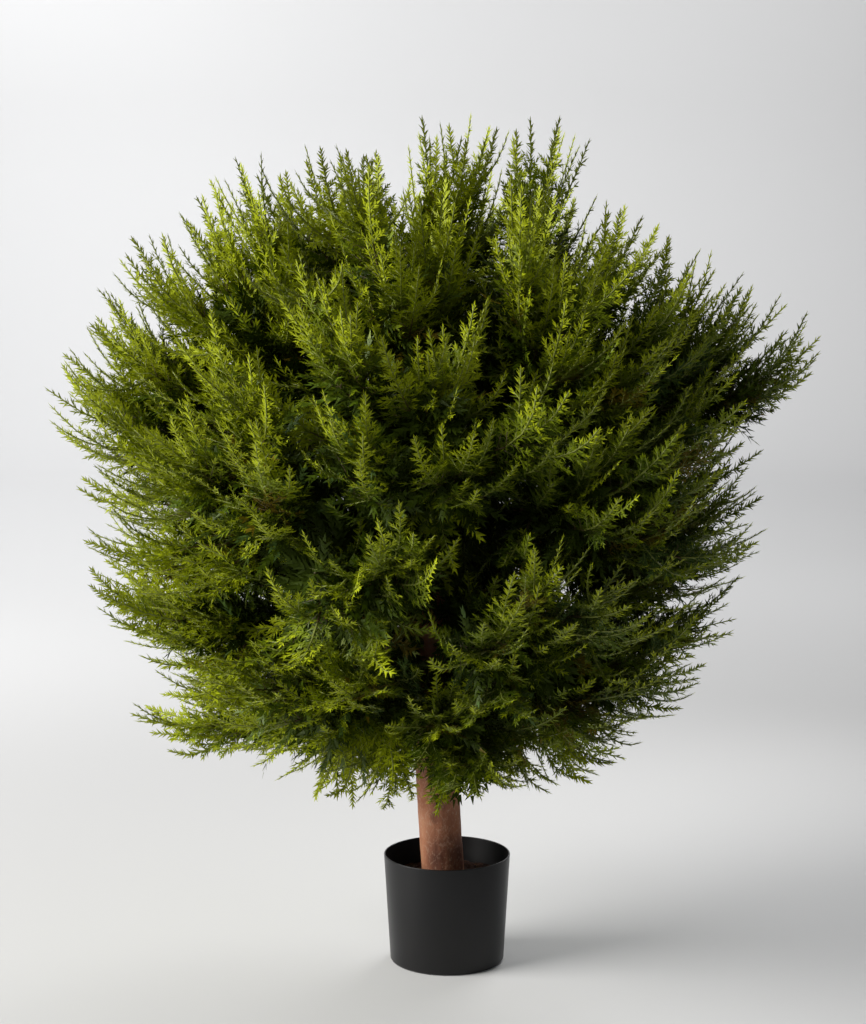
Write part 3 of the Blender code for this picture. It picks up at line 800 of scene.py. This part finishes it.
# how much lighter the sprays on the ball's left and darker those on its right are coloured,
# painted light and shade
PAINTED_LIGHT_LEFT_SHADE_RIGHT = 0.34
INNER_PAINTED_SHADE = 0.28  # inner sprays are coloured as if this much further back, a painted shade
TWIG_COLOURS = (
    ("twig_green", (0.190, 0.220, 0.035)),
    ("twig_brown", (0.085, 0.055, 0.022)),
)
GREEN_TWIG = 0.10  # twigs are green this far back from a tip,
GREEN_WIRE = 0.11  # and a spray's own wire this far


def arrays_of(bm):
    """A small shape's points and triangles as arrays, to be laid out many times."""
    bmesh.ops.triangulate(bm, faces=bm.faces)
    bm.verts.index_update()
    points = np.array([vert.co[:] for vert in bm.verts])
    faces = np.array([[vert.index for vert in face.verts] for face in bm.faces])
    bm.free()
    return points, faces


def needle_shape(folded):
    """A pointed needle, one unit long along Z and one wide at its root; it may be folded."""
    bm = bmesh.new()
    left = bm.verts.new((-0.5, 0, 0))
    right = bm.verts.new((0.5, 0, 0))
    tip = bm.verts.new((0, 0, 1))
    if folded:
        middle = bm.verts.new((0, NEEDLE_FOLD, 0))
        bm.faces.new((left, middle, tip))
        bm.faces.new((middle, right, tip))
    else:
        bm.faces.new((left, right, tip))
    return arrays_of(bm)


def shoot_shape():
    """A slim pointed stalk, one unit long along Z and one wide."""
    bm = bmesh.new()
    bmesh.ops.create_cone(bm, cap_ends=False, segments=3, radius1=0.577, radius2=0.0, depth=1.0)
    bmesh.ops.remove_doubles(bm, verts=bm.verts, dist=1e-5)
    bmesh.ops.translate(bm, verts=bm.verts, vec=(0, 0, 0.5))
    return arrays_of(bm)


NEEDLE = needle_shape(folded=True)
SMALL_NEEDLE = needle_shape(folded=False)
SHOOT = shoot_shape()


def laid_out(shape, start, along, across, length, width):
    """Points and triangles of one small shape, laid along each of many ways."""
    shape_points, shape_faces = shape
    third = np.cross(along, across)
    axes = np.stack([across * width[:, None], third * width[:, None],
                     along * length[:, None]], axis=1)
    points = start[:, None, :] + shape_points @ axes
    faces = shape_faces[None] + len(shape_points) * np.arange(len(start))[:, None, None]
    return points.reshape(-1, 3), faces.reshape(-1, 3)


def lengths_along(path):
    """Distance along a path to each of its points."""
    steps = np.linalg.norm(np.diff(path, axis=0), axis=1)
    return np.concatenate([[0], np.cumsum(steps)])


def stations(path, roll, back):
    """Place, way ahead and way across on a spray, at distances back from its tip."""
    lengths = lengths_along(path)
    along = unit(np.gradient(path, axis=0))
    found = []
    for values in (path, along, spray_sides(along, roll)):
        found.append(np.stack([np.interp(lengths[-1] - back, lengths, values[:, axis])
                               for axis in range(3)], axis=1))
    return found[0], unit(found[1]), unit(found[2])


def leaning(ahead, side, ridge, angle, across, over):
    """Directions at an angle off the way ahead, with a part across and a part over."""
    return unit(ahead * np.cos(angle)[:, None] + side * across[:, None]
                + ridge * over[:, None])


def in_rows(count):
    """For small things set along others: which one each is on, and its number there."""
    which = np.repeat(np.arange(len(count)), count)
    return which, np.arange(count.sum()) - np.repeat(np.cumsum(count) - count, count)


def frond(path, roll, coarse, rng):
    """Shoots of one spray: start, along, across, length, and distance back from the tip.

    The first set is the spray's own twig, cut into short pieces so that it bears needles
    too, and the other is its side shoots.
    """
    pitch = SHOOT_PITCH * math.sqrt(coarse)
    leafy = min(lengths_along(path)[-1] - BARE_ROOT, FROND_LENGTH)
    back = np.arange(0.0, leafy, pitch)
    start, ahead, side = stations(path, roll, back)
    own = (start - ahead * pitch, ahead, side, np.full(len(back), pitch), back + pitch)

    shoots = back > BARE_LEADER
    start = start[shoots]
    ahead = ahead[shoots]
    side = side[shoots]
    back = back[shoots]
    hand = 1.0 - 2.0 * (np.arange(len(back)) % 2)
    ridge = np.cross(side, ahead)
    angle = SHOOT_ANGLE + rng.normal(0, SHOOT_SCATTER, len(back))
    lift = rng.uniform(*SHOOT_LIFT, len(back))
    out = leaning(ahead, side, ridge, angle, hand * np.sin(angle), lift)
    length = np.minimum(SHOOT_SLOPE * back - SHOOT_SHORT, SHOOT_LONGEST)
    length *= rng.uniform(*SHOOT_GROWTH, len(back))
    flat = unit(np.cross(ridge, out))
    return own, (start, out, flat, length, back)


def shaded_shoots(path, roll, leafy, pitch, shortest_longest, rng):
    """Coarser shoots all round the inner part of a spray, behind its flat leafy part."""
    back = np.arange(leafy, lengths_along(path)[-1], pitch)
    start, ahead, side = stations(path, roll, back)
    ridge = np.cross(side, ahead)
    round_it = rng.uniform(0, math.tau, len(back))
    angle = rng.uniform(*SHADED_ANGLE, len(back))
    out = leaning(ahead, side, ridge, angle, np.cos(round_it) * np.sin(angle),
                  np.sin(round_it) * np.sin(angle))
    length = rng.uniform(*shortest_longest, len(back))
    length = length * np.minimum(1.0, SHADED_LEAST + back / SHADED_TAPER)
    flat = unit(np.cross(ahead, out))
    # these shoots are coloured darker by a painted shade
    return start, out, flat, length, back + SHADE_BEHIND


def shoots_on(parents, rng):
    """Short shoots, left and right along longer ones."""
    start, ahead, side, length, back = parents
    count = np.floor((length - TWIG_SHOOT_CLEAR) / TWIG_SHOOT_PITCH).astype(int)
    count = np.where(length > TWIG_SHOOT_OVER, count, 0)
    which, order = in_rows(count)
    at = TWIG_SHOOT_FIRST + (order + rng.uniform(0, 0.5, len(which))) * TWIG_SHOOT_PITCH
    left = length[which] - at
    hand = 1.0 - 2.0 * ((order + which) % 2)
    ridge = np.cross(side, ahead)[which]
    angle = SHOOT_ANGLE + rng.normal(0, TWIG_SHOOT_SCATTER, len(which))
    lift = rng.uniform(-TWIG_SHOOT_LIFT, TWIG_SHOOT_LIFT, len(which))
    out = leaning(ahead[which], side[which], ridge, angle, hand * np.sin(angle), lift)
    grown = np.clip(TWIG_SHOOT_SLOPE * left + TWIG_SHOOT_LEAST, *TWIG_SHOOT_SIZES)
    grown = grown * rng.uniform(*TWIG_SHOOT_GROWTH, len(which))
    flat = unit(np.cross(ridge, out))
    begin = start[which] + ahead[which] * at[:, None]
    return begin, out, flat, grown, back[which] - at * math.cos(SHOOT_ANGLE)


def needles_on(shoots, shape, coarse, rng, own_twig=False):
    """Needles set left and right along shoots, two in four of them lifted out of the plane."""
    start, ahead, side, length, back = shoots
    count = np.maximum(2, np.round(length / (NEEDLE_PITCH * coarse)).astype(int))
    which, order = in_rows(count)
    share = (order + rng.uniform(0.2, 0.8, len(which))) / count[which]
    at = share * length[which]
    hand = 1.0 - 2.0 * (order % 2)
    lifted = np.where((order // 2) % 2 == 0, *NEEDLE_LIFTS)
    ridge = np.cross(side, ahead)[which]
    last = order == count[which] - 1
    taper = share
    if own_twig:
        last = last & (which == 0)
        taper = np.clip(1 - (back[which] - at) / LEADER_TAPER, 0, 1)
    angle = NEEDLE_ANGLE * (1 - NEEDLE_CLOSING * taper)
    angle = angle + rng.normal(0, NEEDLE_SCATTER, len(which))
    angle = np.where(last, LAST_NEEDLE_ANGLE, angle)
    out = leaning(ahead[which], side[which], ridge, angle, hand * np.sin(angle),
                  lifted * np.sin(angle))
    flat = unit(np.cross(ridge, out))
    grown = NEEDLE_LENGTH * coarse * (1 - NEEDLE_SHORTENING * taper)
    grown = grown * rng.uniform(*NEEDLE_GROWTH, len(which))
    width = NEEDLE_WIDTH * coarse * rng.uniform(*NEEDLE_BREADTH, len(which))
    begin = start[which] + ahead[which] * at[:, None]
    points, faces = laid_out(shape, begin, out, flat, grown, width)
    return points, faces, share, back[which] - at * math.cos(SHOOT_ANGLE)


def needle_colours(share, back, tint, depth):
    """A colour for each needle: limes at the tips, deeper greens behind, partly their own colours
    and partly painted shade, by spray and shoot.
    """
    shade = back / SHADE_LENGTH - SHOOT_TIP_LIMER * share + tint["offset"] + depth
    colour = np.full(len(share), LIME)
    colour[shade > tint["lime_until"]] = FRESH
    colour[shade > FRESH_UNTIL] = tint["middle"]
    colour[shade > MIDDLE_UNTIL] = DEEP
    return colour


def deal_tint(heading, rng):
    """How one spray is coloured: most are plain green, some bluish and some olive.

    Those on the ball's top and left have more lime on them as painted light, and those on its
    right less, as painted shade.
    """
    chance = rng.uniform()
    middle = GREEN
    if chance < BLUISH_SHARE - BLUISH_SHARE * heading[2]:
        middle = BLUISH
    elif chance > 1 - OLIVE_SHARE:
        middle = OLIVE
    # painted light on the ball's top and left, and painted shade on its right
    offset = rng.normal(0, TINT_SCATTER) - PAINTED_LIGHT_ABOVE * max(0.0, heading[2])
    offset += PAINTED_LIGHT_LEFT_SHADE_RIGHT * heading[0]
    return {"middle": middle, "offset": offset, "lime_until": rng.uniform(*LIME_UNTIL)}


class Joined:
    """Points, triangles and colours gathered from many small things into one mesh."""

    def __init__(self):
        self.points = []
        self.faces = []
        self.colours = []
        self.count = 0

    def add(self, points, faces, colours):
        self.points.append(points)
        self.faces.append(faces + self.count)
        self.colours.append(colours)
        self.count += len(points)

    def add_clear(self, points, faces, colours):
        """Adds many small shapes, each in its own colour, but none that touches the pole."""
        corners = points[faces]
        beside = np.hypot(corners[..., 0] - pole_x(corners[..., 2]), corners[..., 1])
        touching = beside < POLE_RADII[0] + POLE_GAPS[0]
        touching &= corners[..., 2] < POLE_TOP + POLE_GAPS[1]
        shape_faces = len(faces) // len(colours)
        hit = touching.any(axis=1).reshape(-1, shape_faces).any(axis=1)
        keep = np.repeat(~hit, shape_faces)
        self.add(points, faces[keep], np.repeat(colours, shape_faces)[keep])

    def mesh(self, name):
        return joined_mesh(name, np.concatenate(self.points), np.concatenate(self.faces),
                           np.concatenate(self.colours))


def curled(ahead, out, upturn):
    """A direction turned up, and outwards too where it hangs down."""
    level = np.array((out[0], out[1], 0.0))
    return unit(ahead + upturn * (np.array((0.0, 0.0, 1.0)) - level * min(0.0, ahead[2])))


def bent_path(root, tip, arriving):
    """Points along a spray that goes from its root to its tip, and arrives in a direction."""
    share = np.linspace(0, 1, PATH_POINTS)[:, None]
    bend = tip - arriving * np.linalg.norm(tip - root) / 2
    return root * (1 - share) ** 2 + bend * 2 * share * (1 - share) + tip * share ** 2


def skin_share(point):
    """How far out a point is, as a share of the way from the crown's middle to its skin."""
    away = point - CROWN_MIDDLE
    distance = np.linalg.norm(away)
    return distance / crown_reach(math.atan2(away[1], away[0]), math.asin(away[2] / distance))


def side_sprays(parent, inside, rng):
    """Finer sprays that leave one spray and end beside and behind its tip."""
    sprays = []
    along = unit(np.gradient(parent, axis=0))
    side = unit(np.cross(along[-1], NEARLY_UP))
    over = np.cross(side, along[-1])
    first = rng.uniform(0, math.tau)
    count, widths, depths = SIDE_SPRAYS[inside]
    for number in range(count):
        angle = first + math.tau * number / count + rng.uniform(-SIDE_SCATTER, SIDE_SCATTER)
        away = side * math.cos(angle) + over * math.sin(angle)
        tip = parent[-1] + away * rng.uniform(*widths) - along[-1] * rng.uniform(*depths)
        most = max(SIDE_SKIN, skin_share(parent[-1]) - SIDE_SHORT)
        tip = CROWN_MIDDLE + (tip - CROWN_MIDDLE) * min(1.0, most / skin_share(tip))
        root = parent[int(PATH_POINTS * rng.uniform(*SIDE_ROOT))]
        if np.linalg.norm(tip - root) > SHORTEST_SPRAY:
            ahead = unit(along[-1] + SIDE_SPREAD * away)
            ahead = curled(ahead, unit(tip - CROWN_MIDDLE), rng.uniform(*UPTURN_SIDE))
            sprays.append((bent_path(root, tip, ahead), rng.normal(0, FLAT_SCATTER), inside))
    return sprays


def pole_sprays(turn, rise, ring, rng):
    """Short sprays round the pole, from the inner end of a bough; the lowest hang down."""
    sprays = []
    lowest = ring == "lower"
    for _ in range(POLE_SPRAYS[ring]):
        along = rng.uniform(BOUGH_SHOOTS_FROM, POLE_SPRAY_ROOT)
        root = spray_point(turn, rise, along)
        bearing = turn + rng.uniform(-POLE_SPRAY_SWING, POLE_SPRAY_SWING)
        out = np.array((math.cos(bearing), math.sin(bearing), 0.0))
        up = rng.uniform(*(SKIRT_RISE if lowest else POLE_SPRAY_RISE))
        tip = root + out * rng.uniform(0, POLE_SPRAY_OUT) + (0, 0, up)
        tip[2] = max(tip[2], SKIRT_LOWEST + rng.uniform(0, SKIRT_UNEVEN))
        if np.linalg.norm(tip - root) > SHORTEST_SPRAY:
            bend = rng.uniform(*SKIRT_DROOP) if lowest else up * POLE_SPRAY_UPTURN
            ahead = unit(out + (0, 0, bend))
            sprays.append((bent_path(root, tip, ahead), rng.normal(0, FLAT_SCATTER),
                           not lowest))
    return sprays


def fronds_of(number, rng):
    """Paths of a mass's sprays: each planned spray, and finer ones that grow off it."""
    name, turn, rise, _ = boughs[number]
    fronds = []
    for heading, distance, root, roll, inside in planned_sprays[number]:
        path = spray_path(heading, distance, root, bough_headings[number], PATH_POINTS)
        ahead = unit(path[-1] - path[-2])
        ahead = curled(ahead, unit(path[-1] - CROWN_MIDDLE), rng.uniform(*UPTURN))
        path = bent_path(path[0], path[-1], ahead)
        fronds.append((path, roll * ROLL_KEPT, inside))
        fronds += side_sprays(path, inside, rng)
    fronds += pole_sprays(turn, rise, name.split("_")[0], rng)
    return fronds


needle_finishes = [finish_of(name, colour, 0.45, gloss) for name, colour, gloss in SPRAY_COLOURS]
twig_finishes = [finish_of(name, colour, 0.50) for name, colour in TWIG_COLOURS]

for number, (name, turn, rise, skin) in enumerate(boughs):
    rng = np.random.default_rng(SEED * 100 + number)
    needles = Joined()
    twigs = Joined()
    for path, roll, inside in fronds_of(number, rng):
        coarse = INNER_COARSENESS if inside else 1.0
        # inner sprays, deep in the ball, get a painted shade
        depth = INNER_PAINTED_SHADE if inside else 0.0
        tint = deal_tint(unit(path[-1] - CROWN_MIDDLE), rng)
        own, side_shoots = frond(path, roll, coarse, rng)
        small_shoots = shoots_on(side_shoots, rng)
        inner_shoots = shaded_shoots(path, roll, FROND_LENGTH * SHADED_FROM, SHADED_PITCH,
                                     SHADED_LENGTH, rng)
        for shoots in (own, side_shoots, small_shoots, inner_shoots):
            if len(shoots[3]):
                size = BACK_COARSENESS if shoots is inner_shoots else coarse
                shape = NEEDLE if shoots is own else SMALL_NEEDLE
                points, faces, share, back = needles_on(shoots, shape, size, rng, shoots is own)
                needles.add_clear(points, faces, needle_colours(share, back, tint, depth))
        for shoots, shape in ((side_shoots, SHOOT), (small_shoots, SMALL_NEEDLE)):
            if len(shoots[3]):
                start, along, across, length, back = shoots
                width = np.full(len(start), TWIG_WIDTH)
                points, faces = laid_out(shape, start, along, across, length, width)
                twigs.add_clear(points, faces, (back > GREEN_TWIG).astype(int))
        wire_path = path[None, ::2]
        points, faces = tubes(wire_path, np.linspace(*WIRE_RADII, wire_path.shape[1])[None])
        behind_tip = (path[-1] - points[faces[:, 0]]) @ unit(path[-1] - path[0])
        twigs.add(points, faces, (behind_tip > GREEN_WIRE).astype(int))

    stem_reach = np.linspace(BOUGH_REACH * skin + STEM_GAP, STEM_REACH * skin, STEM_POINTS)
    stem_path = spray_point(turn, rise, stem_reach)
    points, faces = tubes(stem_path[None], np.linspace(*STEM_RADII, STEM_POINTS)[None])
    twigs.add(points, faces, np.ones(len(faces), int))
    bough_reach = np.linspace(BOUGH_SHOOTS_FROM, BOUGH_REACH * skin, STEM_POINTS)
    bough_path = spray_point(turn, rise, bough_reach)
    # shoots on the stem and the bough, deep in the ball, are all deep green, partly their own
    # colour and partly painted shade
    for path, pitch, lengths in ((stem_path, STEM_SHOOT_PITCH, STEM_SHOOT_LENGTH),
                                 (bough_path, BOUGH_SHOOT_PITCH, BOUGH_SHOOT_LENGTH)):
        painted_shade_shoots = shaded_shoots(path, 0.0, 0.0, pitch, lengths, rng)
        points, faces = needles_on(painted_shade_shoots, SMALL_NEEDLE, STEM_COARSENESS, rng)[:2]
        needles.add_clear(points, faces, np.full(len(faces), DEEP))
    placed(needles.mesh("needles_" + name), needle_finishes, ["mass_" + name])
    placed(twigs.mesh("twigs_" + name), twig_finishes, ["mass_" + name])


# ---------------------------- studio
# A pale sweep of paper under and far behind the tree.  One large soft light stands high on
# the left, four weak ones light the floor and two the backdrop, and the camera is a little
# above the middle of the crown.
SWEEP_HALF_WIDTH = 6.5
SWEEP_FRONT = -6.5
SWEEP_BACK = 4.6
SWEEP_RADIUS = 1.2
SWEEP_HEIGHT = 4.0
CAMERA_PLACE = (-0.0167, -2.77, 0.927)
CAMERA_PITCH = math.radians(7.96)
CAMERA_LENS = 84.2

sweep = bmesh.new()
sweep_line = [(SWEEP_FRONT, 0.0)]
sweep_line += arc(SWEEP_BACK, SWEEP_RADIUS, SWEEP_RADIUS, -90, 0, 16)
sweep_line.append((SWEEP_BACK + SWEEP_RADIUS, SWEEP_HEIGHT))
left_edge = [sweep.verts.new((-SWEEP_HALF_WIDTH, y, z)) for y, z in sweep_line]
sweep_edges = [sweep.edges.new(pair) for pair in zip(left_edge, left_edge[1:])]
wide = bmesh.ops.extrude_edge_only(sweep, edges=sweep_edges)
moved = [item for item in wide["geom"] if isinstance(item, bmesh.types.BMVert)]
bmesh.ops.translate(sweep, verts=moved, vec=(2 * SWEEP_HALF_WIDTH, 0, 0))
bmesh.ops.recalc_face_normals(sweep, faces=sweep.faces)
paper_mesh = mesh_from(sweep, "paper_sweep")
paper_mesh.materials.append(finish_of("pale_paper", (0.605, 0.605, 0.607), 0.9))
paper = bpy.data.objects.new("paper_sweep", paper_mesh)
bpy.context.scene.collection.objects.link(paper)


def soft_light(name, place, aim, size, power, colour, spread=110):
    """A rectangular light turned to a point; power in watts, and spread in degrees."""
    light = bpy.data.lights.new(name, "AREA")
    light.shape = "RECTANGLE"
    light.size, light.size_y = size
    light.energy = power
    light.color = colour
    light.spread = math.radians(spread)
    lamp = bpy.data.objects.new(name, light)
    lamp.location = place
    lamp.rotation_euler = (Vector(aim) - Vector(place)).to_track_quat("-Z", "Y").to_euler()
    bpy.context.scene.collection.objects.link(lamp)


WHITE = (1.0, 1.0, 1.0)
soft_light("key_softbox", (-3.1, -1.0, 2.0), (0.0, 0.0, 0.5), (2.5, 2.5), 98, (1.0, 0.985, 0.955))
soft_light("floor_light", (0.8, 1.4, 1.4), (0.33, 0.0, 0.0), (1.0, 1.0), 3.2, WHITE, 60)
soft_light("floor_light_left", (-1.6, 1.9, 2.6), (-0.95, 1.9, 0.0), (1.0, 1.0), 7.2, WHITE, 75)
soft_light("floor_light_far", (-1.7, 2.7, 2.8), (-1.1, 2.8, 0.0), (1.5, 1.5), 10.5, WHITE, 90)
soft_light("floor_light_right", (0.9, 2.9, 2.6), (0.9, 2.4, 0.0), (1.0, 1.0), 4.4, WHITE, 80)
soft_light("backdrop_left", (-2.6, 3.0, 3.2), (-0.6, 5.8, 1.1), (1.5, 1.0), 70, WHITE)
soft_light("backdrop_right", (1.6, 3.2, 3.0), (0.8, 5.8, 1.1), (1.0, 1.0), 13, WHITE)

world = bpy.data.worlds.new("studio_air")
world.use_nodes = True
air = world.node_tree.nodes["Background"]
air.inputs["Color"].default_value = (0.92, 0.95, 1.0, 1.0)
air.inputs["Strength"].default_value = 0.20
bpy.context.scene.world = world

camera = bpy.data.objects.new("camera", bpy.data.cameras.new("camera"))
camera.data.lens = CAMERA_LENS
camera.data.sensor_width = 36.0
camera.location = CAMERA_PLACE
camera.rotation_euler = (math.pi / 2 - CAMERA_PITCH, 0.0, 0.0)
bpy.context.scene.collection.objects.link(camera)
bpy.context.scene.camera = camera

bpy.context.scene.view_settings.view_transform = "Standard"
